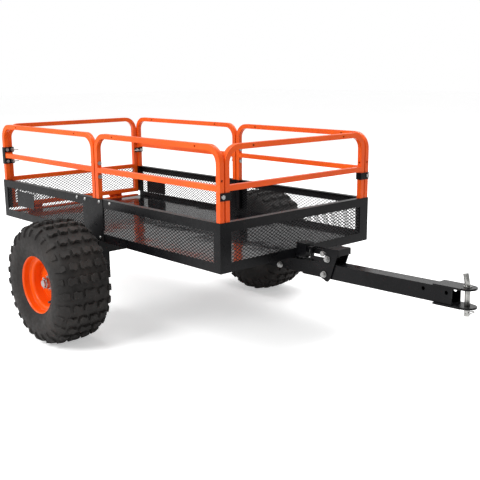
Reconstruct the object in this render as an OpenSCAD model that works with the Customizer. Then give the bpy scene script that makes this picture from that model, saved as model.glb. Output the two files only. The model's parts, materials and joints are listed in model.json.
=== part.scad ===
// Tow-behind dump cart: mesh tray with removable tube hoops, drop-down tailgate,
// two balloon-tyred wheels, drawbar with pin hitch and a foot-pedal tipping latch.
// +X points forwards to the hitch, +Y to the left, +Z up, and the ground is z = 0.

/* [Tray] */
// Outside length of the tray, front face to rear face
tray_length = 1450; // [1200:10:1750]
// Outside width of the tray
tray_width = 735; // [600:5:900]
// Height of the tray, bottom edge to rim
tray_height = 162; // [140:1:220]
// Height of the tray's bottom edge above the ground
tray_clearance = 358; // [345:1:420]
// Upright face of the rim angle
rim_height = 31; // [25:1:40]
// Upright face of the bottom angle
sill_height = 32; // [25:1:40]
// Flange of the rim and bottom angles, turned inwards
flange_width = 22; // [21:0.5:30]
// Thickness of the pressed sheet parts
sheet = 2; // [1.5:0.5:3]
// Thickness of the expanded mesh
mesh_thickness = 2; // [1.5:0.5:3]
// Thickness of the two floor sheets
floor_sheet = 1.2; // [0.8:0.1:3]
// Distance from the axle back to the joint between the floor sheets
floor_joint = 65; // [0:5:100]
// Width of the plate that joins two side panels
centre_plate_width = 137; // [110:1:170]

/* [Hoops] */
// Outside size of the square hoop tube
hoop_tube = 18; // [16:0.5:19]
// Wall of the hoop tube
hoop_wall = 1.5; // [1:0.25:2]
// Height of the hoops above the rim
hoop_rise = 242; // [220:1:350]
// Outside radius of the bends
hoop_bend = 60; // [40:1:80]
// Height of the middle rail's centre above the rim
mid_rail_rise = 107; // [95:1:130]
// How far the posts reach down below the rim
post_depth = 115; // [80:1:125]
// Distance from the axle forward to the joint between side hoops
split_lead = 19; // [0:1:40]
// Gap between neighbouring posts
post_gap = 5; // [4.5:0.5:8]
// Distance between the two small holes in each side hoop's top rail
side_hole_spacing = 465; // [200:1:465]
// Distance between the two small holes in the front hoop's top rail
front_hole_spacing = 441; // [200:1:441]

/* [Tailgate] */
// Height of the tailgate's middle rail above the tray bottom
gate_mid_height = 163; // [130:1:200]
// Height of the tailgate's lower rail above the tray bottom
gate_low_height = 43; // [40:1:60]
// Height of the hinge axis above the tray bottom
gate_hinge_height = 27; // [26:0.5:30]
// Radius of the hinge barrels
gate_barrel = 5; // [4:0.5:5]

/* [Wheels] */
// Outside diameter of the tyre
tyre_diameter = 457; // [420:1:520]
// Width of the inflated tyre
tyre_width = 211; // [190:1:225]
// Gap between the tray's side and the tyre, each side
tyre_gap = 57.5; // [47:0.5:150]
// Radius of the rim's lip
lip_radius = 120; // [114:0.5:126]
// Distance between the outsides of the rim's lips
rim_width = 184; // [170:1:190]
// Diameter of the spindle
spindle_diameter = 25; // [20:0.5:28]
// Length of the hub tube
hub_length = 79; // [70:1:100]

/* [Axle and dump hinge] */
// Size of the square axle beam
beam_size = 50; // [40:1:60]
// Distance from the axle back to the dump hinge
pivot_setback = 130; // [110:1:180]
// Depth of the dump hinge below the tray bottom
pivot_drop = 14; // [14:0.5:24]
// Diameter of the dump hinge rod
pivot_rod_diameter = 16; // [12:0.5:20]

/* [Drawbar] */
// Upward slope of the drawbar, in degrees
drawbar_rise = 1.35; // [0:0.05:2]
// Size of the front drawbar tube
front_tube = 50; // [45:1:60]
// Wall of both drawbar tubes
drawbar_wall = 3; // [2.5:0.5:4]
// Distance from the tray's front face to the front tube's front end
front_tube_reach = 611; // [500:1:800]
// Distance from the tray's front face to the hitch pin
hitch_reach = 647; // [540:1:850]
// Distance from the tray's front face to the rear end of the front tube
front_tube_start = 32; // [25:1:60]
// Thickness of the hitch plates
hitch_plate = 6; // [5:0.5:10]
// Width of the hitch plates
hitch_width = 62; // [56:1:80]
// Diameter of the hitch pin
hitch_pin_diameter = 15.9; // [12:0.1:19]
// Diameter of the cross holes near the drawbar's front end
cross_hole = 12; // [8:0.5:14]

/* [Foot pedal] */
// Distance from the tray's front face to the pedal's pivot bolt
pedal_pivot_reach = 134; // [125:1:160]
// Height of the pedal's step above the drawbar's top face
pedal_height = 54; // [52:1:70]
// Diameter of the pivot bolt, the striker bolt and the cross bolt
pedal_bolt = 10; // [8:0.5:12]

/* [Hidden] */
$fn = 48;

// How far a cutting shape runs past the face it cuts
cut = 1;
// Slack round each post in its socket, each side
slip = 0.3;
// Radial slack of a shaft that turns in a hole
run_fit = 0.05;
// Gap between faces that slide past each other
end_play = 0.3;
// Extra diameter of a hole for a loose pin or bolt
pin_slip = 0.4;

track = tray_width + 2 * tyre_gap + tyre_width;
hoop_split = tray_length / 2 - split_lead;

half_width = tray_width / 2;
floor_z = tray_clearance;
rim_z = floor_z + tray_height;
axle_x = -tray_length / 2;
axle_z = tyre_diameter / 2;

// Hoops and their posts
socket_wall = 1.5;
socket_depth = 10;
end_strip = 30;
side_post_y = half_width - sheet;
end_post_y = side_post_y - hoop_tube - post_gap;
front_post_x = -sheet;
rear_hoop_setback = 10;
split_gap = 6;
pin_offset = 25;
hoop_top = rim_z + hoop_rise;
mid_rail_z = rim_z + mid_rail_rise;
pin_heights = [mid_rail_z - pin_offset, mid_rail_z + pin_offset];
post_foot_z = rim_z - post_depth;
hoop_height = hoop_rise + post_depth;
pin_diameter = 8;
ring_wire = 2.5;
small_hole = 7;
front_hoop_x = [-hoop_split + split_gap / 2, front_post_x];
rear_hoop_x = [-tray_length + rear_hoop_setback, -hoop_split - split_gap / 2];
front_side_posts = [front_hoop_x[0] + hoop_tube / 2, front_hoop_x[1] - hoop_tube / 2];
rear_side_posts = [rear_hoop_x[0] + hoop_tube / 2, rear_hoop_x[1] - hoop_tube / 2];
strap_thickness = 3;
strap_height = 26;
strap_gap = 0.2;
corner_plate = sheet + 2 * hoop_tube + post_gap + slip + socket_wall + 1.2;

// Tailgate, hinged outside its rear face
gate_x = -tray_length;
gate_foot_z = floor_z + gate_low_height - hoop_tube / 2;
gate_hinge_x = gate_x - gate_barrel - 1;
gate_hinge_z = floor_z + gate_hinge_height;
gate_sill_height = 20;
gate_sill_top = floor_z + gate_sill_height;
hinge_ys = [-220, 220];
hinge_length = 70;
hinge_pin_diameter = 5;
leaf_reach = 14;

// Axle, legs and dump hinge
beam_gap = 1;
beam_top = floor_z - beam_gap;
beam_wall = 3;
leg_size = 46;
leg_y = half_width - leg_size - 4;
spindle_collar = 34;
pivot_x = axle_x - pivot_setback;
pivot_z = floor_z - pivot_drop;
arm_thickness = 8;
arm_height = 26;
arm_inset = 88;
arm_y = half_width - arm_inset;
rod_overhang = 12;
lug_thickness = 6;
lug_gap = 0.6;

// Tray floor
bearer_height = 12;
bearer_width = 24;
bearer_rest = 14;
sheet_gap = 0.5;
floor_sheet_z = floor_z + sheet + bearer_height;
floor_joint_x = axle_x - floor_joint;
bearer_xs = [bearer_width / 2 + hoop_tube + 6 - tray_length, pivot_x, floor_joint_x,
    axle_x + pivot_setback, -flange_width - bearer_width / 2];

// Wheel
wheel_y = track / 2;
hub_radius = 31;
bearing_radius = 26;
bearing_width = 15;
rim_sheet = 3;
bead_radius = lip_radius - 15;
well_radius = bead_radius - 20;
seat_width = 30;
valve_radius = (bead_radius + well_radius) / 2;
valve_angle = 32;
valve_width = 11;
valve_length = 18;
cap_size = 8;
tyre_shoulder = 34;
tyre_wall = 11;
crown_radius = 0.62 * tyre_diameter;
bead_width = 12;
disc_out = 18;
disc_thickness = rim_sheet + 1;
nut_across = 36;
nut_height = 14;
washer_radius = 22;
washer_height = 3;
hub_out = hub_length / 2;
spindle_end = hub_out + washer_height + nut_height + 8;
cotter = 3.8;
cotter_y = wheel_y + spindle_end - 4;

// Drawbar: its own frame starts at the tray's front face, on the tubes' centre line
drawbar_drop = 27.8;
drawbar_slip = 0.2;
rear_tube = front_tube - 2 * (drawbar_wall + drawbar_slip);
rear_tube_end = front_tube_start + 150;
hitch_nose = 28;
hitch_start = front_tube_reach - 60;
hitch_half = hitch_width / 2;
cross_hole_xs = [front_tube_reach - 96, front_tube_reach - 18];
cross_hole_z = 9;
clip_drop = 15;
clip_wire = 3.2;
pin_overhang = 24;
handle_lean = 12;
handle_length = 44;
rear_bolt_x = -75;

// Bolts through the drawbar and the pedal
bolt_across = 1.6 * pedal_bolt;
bolt_washer = 2.2 * pedal_bolt;
bolt_head = 7;
bolt_tail = 3;

// Foot pedal, in the drawbar's frame
tube_half = front_tube / 2;
pedal_pivot_z = -11;
wing_gap = 2;
wing_thickness = 4;
wing_inner = tube_half + wing_gap;
wing_outer = wing_inner + wing_thickness;
pedal_top = tube_half + pedal_height;
pedal_front = pedal_pivot_reach + 63;
pedal_plate = 4;
pedal_lip = 22;
arm_back = 13;
notch = pedal_bolt + 1.2;
striker = [pedal_pivot_reach - 4, tube_half + 33.5];
jaw_x = striker[0] + pedal_bolt / 2 + 1;
notch_end = striker[0] + 8;
cross_bolt_at = [pedal_pivot_reach + 15, tube_half + 17.5];
ear_y = [8, 12];
ear_radius = 10;
channel_half = 22;
channel_depth = 44;
channel_height = 48;
spring_x = pedal_pivot_reach - 67;
spring_y = -20;
spring_radius = 4.5;
spring_wire = 1.6;
spring_tab = 6;
tab_height = 7;
spring_top = tube_half + 45;

// Whole object: the origin is under the middle of its length
hitch_tip_x = (hitch_reach + hitch_nose) * cos(drawbar_rise)
    + (tube_half + hitch_plate) * sin(drawbar_rise);
rear_tip_x = gate_hinge_x - gate_barrel;
middle_x = (hitch_tip_x + rear_tip_x) / 2;

// Moves the whole cart so that its origin is under the middle of its length
module cart() {
    translate([-middle_x, 0, 0]) children();
}

// Mirrored pair: children on the left and again on the right
module both_sides() {
    children();
    mirror([0, 1, 0]) children();
}

// Children on one side only: 1 is the left side, -1 the right side
module on_side(side) {
    if (side > 0) children();
    else mirror([0, 1, 0]) children();
}

// Block between two corners, given as low and high values per axis
module block(x, y, z) {
    translate([x[0], y[0], z[0]]) cube([x[1] - x[0], y[1] - y[0], z[1] - z[0]]);
}

// Rods along the three axes, from a start point
module rod_x(d, x, y, z) {
    translate([x[0], y, z]) rotate([0, 90, 0]) cylinder(d = d, h = x[1] - x[0]);
}

module rod_y(d, x, y, z) {
    translate([x, y[0], z]) rotate([-90, 0, 0]) cylinder(d = d, h = y[1] - y[0]);
}

module rod_z(d, x, y, z) {
    translate([x, y, z[0]]) cylinder(d = d, h = z[1] - z[0]);
}

// Hexagon head or nut along Y
module hex_y(across, x, y, z) {
    translate([x, y[0], z]) rotate([-90, 0, 0])
        cylinder(d = across / cos(30), h = y[1] - y[0], $fn = 6);
}

// Hexagon head or nut along X
module hex_x(across, x, y, z) {
    translate([x[0], y, z]) rotate([0, 90, 0])
        cylinder(d = across / cos(30), h = x[1] - x[0], $fn = 6);
}

// The drawbar's own frame: x from the tray's front face, z from its centre line
module on_drawbar() {
    translate([0, 0, floor_z - drawbar_drop]) rotate([0, -drawbar_rise, 0]) children();
}

// Rectangle with two round upper corners
module arch(width, height, bend) {
    square([width, height - bend]);
    translate([bend, 0]) square([width - 2 * bend, height]);
    for (x = [bend, width - bend]) translate([x, height - bend]) circle(r = bend);
}

// Band between two arches, the second one inset further than the first
module arch_band(width, height, bend, near, far, drop) {
    difference() {
        translate([near, -drop]) arch(width - 2 * near, height - near + drop, bend - near);
        translate([far, -drop - cut]) arch(width - 2 * far, height - far + drop + cut, bend - far);
    }
}

// Square tube bent into an arch, flat on XY, with open feet at y = 0
module bent_tube(width, height) {
    difference() {
        linear_extrude(hoop_tube) arch_band(width, height, hoop_bend, 0, hoop_tube, 0);
        translate([0, 0, hoop_wall]) linear_extrude(hoop_tube - 2 * hoop_wall)
            arch_band(width, height, hoop_bend, hoop_wall, hoop_tube - hoop_wall, cut);
    }
}

// Straight square tube along X between two posts of a bent tube
module cross_tube(width, y) {
    translate([hoop_tube, y - hoop_tube / 2, 0]) difference() {
        cube([width - 2 * hoop_tube, hoop_tube, hoop_tube]);
        translate([-cut, hoop_wall, hoop_wall])
            cube([width, hoop_tube - 2 * hoop_wall, hoop_tube - 2 * hoop_wall]);
    }
}

// Stands a flat hoop up along X, with its outer face at y
module stand_x(x, y, z) {
    translate([x, y, z]) rotate([90, 0, 0]) children();
}

// Stands a flat hoop up along Y, with its rear face at x
module stand_y(x, y, z) {
    translate([x, y, z]) rotate([90, 0, 90]) children();
}

// Three-sided socket for a post, open towards +Y
module socket(x, z) {
    outer = hoop_tube + 2 * (slip + socket_wall);
    difference() {
        block([x - outer / 2, x + outer / 2], [-hoop_tube - slip - socket_wall, 0], z);
        block([x - hoop_tube / 2 - slip, x + hoop_tube / 2 + slip], [-hoop_tube - slip, cut],
            [z[0] - cut, z[1] + cut]);
    }
}

// Coil of round wire round the Z axis: a stack of rings
module ring_stack(radius, wire, z, count) {
    pitch = (z[1] - z[0] - wire) / (count - 1);
    for (i = [0 : count - 1]) translate([0, 0, z[0] + wire / 2 + i * pitch])
        rotate_extrude() translate([radius - wire / 2, 0]) circle(d = wire, $fn = 16);
}

// Outside of the axle beam
module beam_block() {
    block([axle_x - beam_size / 2, axle_x + beam_size / 2], [-half_width + 2, half_width - 2],
        [beam_top - beam_size, beam_top]);
}

module axle_beam() color("#1c1c1e") cart() difference() {
    beam_block();
    block([axle_x - beam_size / 2 + beam_wall, axle_x + beam_size / 2 - beam_wall],
        [-half_width, half_width],
        [beam_top - beam_size + beam_wall, beam_top - beam_wall]);
}

// Legs under the ends of the beam, bored for the spindles
module axle_legs() color("#1c1c1e") cart() both_sides() difference() {
    block([axle_x - leg_size / 2, axle_x + leg_size / 2], [leg_y, leg_y + leg_size],
        [axle_z - leg_size / 2, beam_top - beam_size]);
    rod_y(spindle_diameter, axle_x, [leg_y - cut, leg_y + leg_size + cut], axle_z);
}

// Spindles, each with a collar between the leg and the hub
module spindles() color("#8b8d90") cart() both_sides() difference() {
    union() {
        rod_y(spindle_diameter, axle_x, [leg_y, wheel_y + spindle_end], axle_z);
        rod_y(spindle_collar, axle_x, [leg_y + leg_size, wheel_y - hub_out - end_play], axle_z);
    }
    rod_z(cotter + pin_slip / 2, axle_x, cotter_y, [axle_z - spindle_diameter, axle_z + spindle_diameter]);
}

module wheel_washers() color("#c9cbce") cart() both_sides() difference() {
    rod_y(2 * washer_radius, axle_x, [wheel_y + hub_out + end_play, wheel_y + hub_out + washer_height],
        axle_z);
    rod_y(spindle_diameter, axle_x, [wheel_y, wheel_y + spindle_end], axle_z);
}

module wheel_nuts() color("#c9cbce") cart() both_sides() difference() {
    hex_y(nut_across, axle_x,
        [wheel_y + hub_out + washer_height, wheel_y + hub_out + washer_height + nut_height], axle_z);
    rod_y(spindle_diameter, axle_x, [wheel_y, wheel_y + spindle_end], axle_z);
}

// Split pins through the spindles' ends, each with a round eye on top
module cotter_pins() color("#c9cbce") cart() both_sides() {
    eye = 7;
    foot = spindle_diameter / 2 + eye;
    head = spindle_diameter / 2 + 0.7 * eye;
    rod_z(cotter, axle_x, cotter_y, [axle_z - foot, axle_z + head]);
    translate([axle_x, cotter_y, axle_z + head + 0.35 * eye]) sphere(d = eye);
}

// Two arms that carry the dump hinge rod behind the beam
module pivot_arms() color("#1c1c1e") cart() both_sides() difference() {
    union() {
        block([pivot_x, axle_x - beam_size / 2], [arm_y, arm_y + arm_thickness],
            [pivot_z - arm_height / 2, pivot_z + arm_height / 2]);
        rod_y(arm_height, pivot_x, [arm_y, arm_y + arm_thickness], pivot_z);
    }
    rod_y(pivot_rod_diameter, pivot_x, [arm_y - cut, arm_y + arm_thickness + cut], pivot_z);
}

// Rod through both arms, standing out a little at each end
module pivot_rod() color("#8b8d90") cart() {
    reach = arm_y + arm_thickness + rod_overhang;
    rod_y(pivot_rod_diameter, pivot_x, [-reach, reach], pivot_z);
}

// Square tube along X in the drawbar's frame
module drawbar_tube(size, x) {
    inner = size / 2 - drawbar_wall;
    difference() {
        block(x, [-size / 2, size / 2], [-size / 2, size / 2]);
        block([x[0] - cut, x[1] + cut], [-inner, inner], [-inner, inner]);
    }
}

// Rear tube, butted against the beam; the front tube slides over its other end
module drawbar_rear_tube() color("#202022") cart() difference() {
    on_drawbar() difference() {
        drawbar_tube(rear_tube, [axle_x, rear_tube_end]);
        for (x = [rear_bolt_x, pedal_pivot_reach])
            rod_y(pedal_bolt, x, [-front_tube, front_tube], pedal_pivot_z);
    }
    translate([0, 0, -beam_size]) beam_block();
    beam_block();
}

// Front tube, with a small tab on top that holds the spring's lower end
module drawbar_front_tube() color("#2a2a2c") cart() on_drawbar() {
    difference() {
        drawbar_tube(front_tube, [front_tube_start, front_tube_reach]);
        rod_y(pedal_bolt, pedal_pivot_reach, [-front_tube, front_tube], pedal_pivot_z);
        for (x = cross_hole_xs) rod_y(cross_hole, x, [-front_tube, front_tube], cross_hole_z);
    }
    block([spring_x - spring_tab, spring_x + spring_tab], [spring_y - wing_gap, spring_y + wing_gap],
        [tube_half, tube_half + tab_height]);
}

// Bolt right across the rear tube, with washers, head and nut
module drawbar_bolt() color("#c9cbce") cart() on_drawbar()
    cross_bolt(rear_bolt_x, pedal_pivot_z, rear_tube / 2);

// Bolt along Y through two faces at plus and minus y, with washers, head and nut
module cross_bolt(x, z, y) {
    washer = 2;
    head = y + washer + bolt_head;
    rod_y(pedal_bolt, x, [-head - bolt_tail, head + bolt_tail], z);
    both_sides() {
        rod_y(bolt_washer, x, [y, y + washer], z);
        hex_y(bolt_across, x, [y + washer, head], z);
    }
}

// Hitch plate: parallel sides and a round nose about the hitch pin
module hitch_plate_shape(z) {
    straight = hitch_reach - 4;
    difference() {
        union() {
            block([hitch_start, straight], [-hitch_half, hitch_half], [z, z + hitch_plate]);
            rod_z(2 * hitch_nose, hitch_reach, 0, [z, z + hitch_plate]);
        }
        rod_z(hitch_pin_diameter + 2 * run_fit, hitch_reach, 0, [z - cut, z + hitch_plate + cut]);
    }
}

module hitch_plates() color("#262628") cart() on_drawbar()
    for (z = [tube_half, -tube_half - hitch_plate]) hitch_plate_shape(z);

// Pin with a collar on the upper plate, a leaning handle and a cross hole for its clip
module hitch_pin() color("#c9cbce") cart() on_drawbar() {
    foot = -tube_half - hitch_plate;
    collar = [tube_half + hitch_plate, tube_half + hitch_plate + 3];
    difference() {
        rod_z(hitch_pin_diameter, hitch_reach, 0, [foot - pin_overhang, collar[1]]);
        rod_y(clip_wire + pin_slip, hitch_reach, [-hitch_pin_diameter, hitch_pin_diameter],
            foot - clip_drop);
    }
    rod_z(hitch_pin_diameter + 8, hitch_reach, 0, collar);
    translate([hitch_reach, 0, collar[1]]) rotate([0, -handle_lean, 0]) difference() {
        translate([0, 0, -hitch_pin_diameter / 2])
            cylinder(d = hitch_pin_diameter, h = handle_length);
        translate([0, 0, -handle_length / 2])
            cube([2 * handle_length, 2 * handle_length, handle_length], center = true);
    }
}

// Hairpin clip: one straight leg through the pin, one bowed leg round it
module hitch_clip() color("#d6d8da") cart() on_drawbar()
    translate([hitch_reach, 0, -tube_half - hitch_plate - clip_drop]) hairpin(hitch_pin_diameter, clip_wire);

// Flat hairpin along Y round a pin of diameter d
module hairpin(d, wire) {
    bow = 0.4 * d;
    end = 1.3 * d;
    rod_y(wire, 0, [-0.9 * d, end], 0);
    translate([-bow, end, 0]) rotate_extrude() translate([bow, 0]) circle(d = wire, $fn = 16);
}

// Section of the tyre: round shoulders, a flatter crown and an open inside
module tyre_section(inset) {
    radius = tyre_diameter / 2 - inset;
    half = tyre_width / 2 - inset;
    shoulder = tyre_shoulder - inset;
    low = bead_radius + 1.5 * inset;
    intersection() {
        union() {
            translate([low, -half + shoulder]) square([radius - low, 2 * (half - shoulder)]);
            translate([low + shoulder, -half]) square([radius - shoulder - low - shoulder, 2 * half]);
            for (y = [-half + shoulder, half - shoulder], x = [low + shoulder, radius - shoulder])
                translate([x, y]) circle(r = shoulder);
        }
        translate([radius - crown_radius, 0]) circle(r = crown_radius, $fn = 96);
    }
}

module tyre(side) color("#232325") cart() on_side(side)
    translate([axle_x, wheel_y, axle_z]) rotate([-90, 0, 0]) rotate_extrude($fn = 96) difference() {
        tyre_section(0);
        tyre_section(tyre_wall);
        translate([0, bead_width - rim_width / 2])
            square([bead_radius + tyre_wall + 9, rim_width - 2 * bead_width]);
        for (m = [0, 1]) mirror([0, m])
            translate([0, rim_width / 2 - rim_sheet]) square([lip_radius, tyre_width]);
    }

// Rim: two lips, two bead seats, a well, a dished disc and the hub tube
module rim(side) color("#f4511a") cart() on_side(side)
    translate([axle_x, wheel_y, axle_z]) rotate([-90, 0, 0]) rotate_extrude($fn = 96) {
        half = rim_width / 2;
        for (m = [0, 1]) mirror([0, m]) {
            translate([bead_radius - rim_sheet, half - rim_sheet])
                square([lip_radius - bead_radius + rim_sheet, rim_sheet]);
            translate([bead_radius - rim_sheet, half - seat_width]) square([rim_sheet, seat_width]);
            translate([well_radius - rim_sheet, half - seat_width - rim_sheet])
                square([bead_radius - well_radius + rim_sheet, rim_sheet]);
        }
        translate([well_radius - rim_sheet, seat_width - half])
            square([rim_sheet, rim_width - 2 * seat_width]);
        translate([hub_radius, disc_out]) square([well_radius - hub_radius, disc_thickness]);
        translate([bearing_radius, -hub_out]) square([hub_radius - bearing_radius, hub_length]);
    }

module bearings(side) color("#b9bbbe") cart() on_side(side)
    translate([axle_x, wheel_y, axle_z]) rotate([-90, 0, 0]) rotate_extrude()
        for (y = [-hub_out, hub_out - bearing_width])
            translate([spindle_diameter / 2 + run_fit, y])
                square([bearing_radius - spindle_diameter / 2 - run_fit, bearing_width]);

// Valve stem, standing out of the step between the well and the bead seat
module valve(side) color("#151515") cart() on_side(side)
    translate([axle_x, wheel_y + rim_width / 2 - seat_width, axle_z]) rotate([-90, 0, 0])
        rotate([0, 0, valve_angle]) translate([valve_radius - rim_sheet, 0, 0]) {
            cylinder(d = valve_width, h = valve_length);
            translate([0, 0, valve_length]) cylinder(d = cap_size, h = cap_size);
        }

// Top flange cut away round one post of a side hoop
module side_post_cut(x) {
    block([x - hoop_tube / 2 - slip, x + hoop_tube / 2 + slip],
        [side_post_y - hoop_tube - slip, side_post_y], [rim_z - sheet - cut, rim_z + cut]);
}

// Half of one side of the tray, drawn on the left: angles, end strips and sockets. A socket that
// stands against the front panel has no front wall of its own
module side_panel_shape(x, post_xs) {
    outer = [half_width - sheet, half_width];
    flange = [half_width - flange_width, half_width];
    inside = [side_post_y - hoop_tube - slip - socket_wall - cut, side_post_y];
    socket_z = [post_foot_z - socket_depth, rim_z - sheet];
    difference() {
        union() {
            block(x, outer, [rim_z - rim_height, rim_z]);
            block(x, flange, [rim_z - sheet, rim_z]);
            block(x, outer, [floor_z, floor_z + sill_height]);
            block(x, flange, [floor_z, floor_z + sheet]);
            block([x[0], x[0] + end_strip], outer, [floor_z, rim_z]);
            block([x[1] - end_strip, x[1]], outer, [floor_z, rim_z]);
        }
        for (px = post_xs) side_post_cut(px);
    }
    intersection() {
        for (px = post_xs) translate([0, side_post_y, 0]) socket(px, socket_z);
        block(x, inside, socket_z);
    }
}

module side_panel_front(side) color("#1d1d1f") cart() on_side(side)
    side_panel_shape([-hoop_split, -sheet], front_side_posts);

module side_panel_rear(side) color("#1d1d1f") cart() on_side(side)
    side_panel_shape([-tray_length, -hoop_split], rear_side_posts);

// Mesh behind the angles of a side panel, notched round the sockets
module side_mesh_shape(x, post_xs) {
    room = hoop_tube / 2 + slip + socket_wall + sheet_gap;
    inner = half_width - sheet - mesh_thickness;
    difference() {
        block([x[0] + 2, x[1] - 2], [inner, half_width - sheet], [floor_z + sheet, rim_z - sheet]);
        for (px = post_xs) block([px - room, px + room], [inner - cut, half_width],
            [post_foot_z - socket_depth - cut, rim_z]);
    }
}

module side_mesh_front(side) color("#3a3a3c") cart() on_side(side)
    side_mesh_shape([-hoop_split, -sheet], front_side_posts);

module side_mesh_rear(side) color("#3a3a3c") cart() on_side(side)
    side_mesh_shape([-tray_length, -hoop_split], rear_side_posts);

module front_panel() color("#1d1d1f") cart() {
    edge = half_width - flange_width - 0.5;
    post_y = end_post_y - hoop_tube / 2;
    room = hoop_tube / 2 + slip;
    difference() {
        union() {
            block([-sheet, 0], [-half_width, half_width], [rim_z - rim_height, rim_z]);
            block([-sheet, 0], [-half_width, half_width], [floor_z, floor_z + sill_height]);
            block([-flange_width, 0], [-edge, edge], [rim_z - sheet, rim_z]);
            block([-flange_width, 0], [-edge, edge], [floor_z, floor_z + sheet]);
            both_sides() block([-sheet, 0], [half_width - corner_plate, half_width], [floor_z, rim_z]);
        }
        both_sides() block([-sheet - hoop_tube - slip, -sheet], [post_y - room, post_y + room],
            [rim_z - sheet - cut, rim_z + cut]);
    }
    both_sides() translate([-sheet, post_y, 0]) rotate([0, 0, -90])
        socket(0, [post_foot_z - socket_depth, rim_z - sheet]);
}

module front_mesh() color("#3a3a3c") cart() {
    span = end_post_y - hoop_tube - slip - socket_wall - sheet_gap;
    block([-sheet - mesh_thickness, -sheet], [-span, span], [floor_z + sheet, rim_z - sheet]);
}

// Bearers under the floor sheets, resting on the side angles' flanges; one carries the dump hinge lugs
module floor_bearers() color("#1d1d1f") cart() {
    edge = half_width - flange_width + bearer_rest;
    for (x = bearer_xs) block([x - bearer_width / 2, x + bearer_width / 2], [-edge, edge],
        [floor_z + sheet, floor_z + sheet + bearer_height]);
    both_sides() pivot_lug();
}

// Lug that hangs from the rear bearer and turns on the dump hinge rod
module pivot_lug() {
    y = [arm_y - lug_gap - lug_thickness, arm_y - lug_gap];
    difference() {
        union() {
            block([pivot_x - bearer_width / 2, pivot_x + bearer_width / 2], y, [pivot_z, floor_z + sheet]);
            rod_y(bearer_width, pivot_x, y, pivot_z);
        }
        rod_y(pivot_rod_diameter + 2 * run_fit, pivot_x, [y[0] - cut, y[1] + cut], pivot_z);
    }
}

// Floor sheet between two ends along X, as wide as the mesh on both sides leaves room for
module floor_part(x) {
    edge = half_width - sheet - mesh_thickness - sheet_gap;
    block(x, [-edge, edge], [floor_sheet_z, floor_sheet_z + floor_sheet]);
}

module floor_sheet_front() color("#141416") cart()
    floor_part([floor_joint_x + sheet_gap, -sheet - mesh_thickness - sheet_gap]);

module floor_sheet_rear() color("#141416") cart()
    floor_part([-tray_length + hoop_tube + sheet_gap, floor_joint_x - sheet_gap]);

module centre_plates() color("#262628") cart() both_sides() {
    x = [axle_x - centre_plate_width / 2, axle_x + centre_plate_width / 2];
    block(x, [half_width, half_width + sheet], [floor_z, rim_z]);
}

// Blank plates hung outside the mesh near the rear corners
module label_plates() color("#2c2c2e") cart() {
    size = [147, 66];
    plate_thickness = 1.5;
    left = [-1312, sill_height + 1];
    right = [-1259, sill_height + 26];
    for (plate = [[1, left], [-1, right]]) on_side(plate[0])
        block([plate[1][0] - size[0] / 2, plate[1][0] + size[0] / 2],
            [half_width - sheet, half_width - sheet + plate_thickness],
            [floor_z + plate[1][1], floor_z + plate[1][1] + size[1]]);
}

// Button-head bolts: four through each rim and two through the foot of each centre plate
module panel_bolts() color("#dcdddf") cart() both_sides() {
    face = half_width + sheet;
    below_rim = 10;
    above_foot = 17;
    for (dx = [-112, -52, 46, 112]) {
        out = abs(dx) < centre_plate_width / 2 ? face : half_width;
        translate([axle_x + dx, out, rim_z - below_rim]) rotate([-90, 0, 0]) button_head(13);
    }
    for (dx = [-45, 45])
        translate([axle_x + dx, face, floor_z + above_foot]) rotate([-90, 0, 0]) button_head(11);
}

// Low domed head on z = 0, as high as three tenths of its width
module button_head(d) {
    height = 0.3 * d;
    dome = 0.63 * d;
    intersection() {
        cylinder(d = d, h = height);
        translate([0, 0, height - dome]) sphere(r = dome);
    }
}

// Striker: a channel on the tray's front face with two ears that carry the striker bolt
module latch_striker() color("#171719") cart() {
    block([0, channel_depth], [-channel_half, channel_half], [floor_z + 4, floor_z + 4 + channel_height]);
    on_drawbar() both_sides() difference() {
        union() {
            block([channel_depth - 8, striker[0]], ear_y, [striker[1] - ear_radius, striker[1] + ear_radius]);
            rod_y(2 * ear_radius, striker[0], ear_y, striker[1]);
        }
        rod_y(pedal_bolt, striker[0], [0, front_tube], striker[1]);
    }
}

module striker_bolt() color("#dcdddf") cart() on_drawbar() {
    head = wing_outer + 1;
    end = head + bolt_head;
    rod_y(pedal_bolt, striker[0], [-end, end], striker[1]);
    both_sides() hex_y(bolt_across, striker[0], [head, end - 1], striker[1]);
}

// Side hoop, drawn on the left, from its rear end to its front end
module side_hoop_shape(x) {
    width = x[1] - x[0];
    middle = (x[0] + x[1]) / 2;
    difference() {
        stand_x(x[0], side_post_y, post_foot_z) {
            bent_tube(width, hoop_height);
            cross_tube(width, mid_rail_z - post_foot_z);
        }
        for (s = [-1, 1])
            rod_y(small_hole, middle + s * side_hole_spacing / 2,
                [side_post_y - hoop_tube - cut, side_post_y + cut], hoop_top - hoop_tube / 2);
        for (z = pin_heights, px = [x[0] + hoop_tube / 2, x[1] - hoop_tube / 2])
            rod_x(pin_diameter + pin_slip, [px - hoop_tube, px + hoop_tube], side_post_y - hoop_tube / 2, z);
    }
}

module side_hoop_front(side) color("#f4511a") cart() on_side(side) side_hoop_shape(front_hoop_x);

module side_hoop_rear(side) color("#f4511a") cart() on_side(side) side_hoop_shape(rear_hoop_x);

module hoop_front() color("#f4511a") cart() difference() {
    stand_y(front_post_x - hoop_tube, -end_post_y, post_foot_z) {
        bent_tube(2 * end_post_y, hoop_height);
        cross_tube(2 * end_post_y, mid_rail_z - post_foot_z);
    }
    for (s = [-1, 1])
        rod_x(small_hole, [front_post_x - hoop_tube - cut, front_post_x + cut],
            s * front_hole_spacing / 2, hoop_top - hoop_tube / 2);
    for (z = pin_heights) both_sides()
        rod_y(small_hole, front_post_x - hoop_tube / 2,
            [end_post_y - hoop_tube - cut, end_post_y + cut], z);
}

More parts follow.
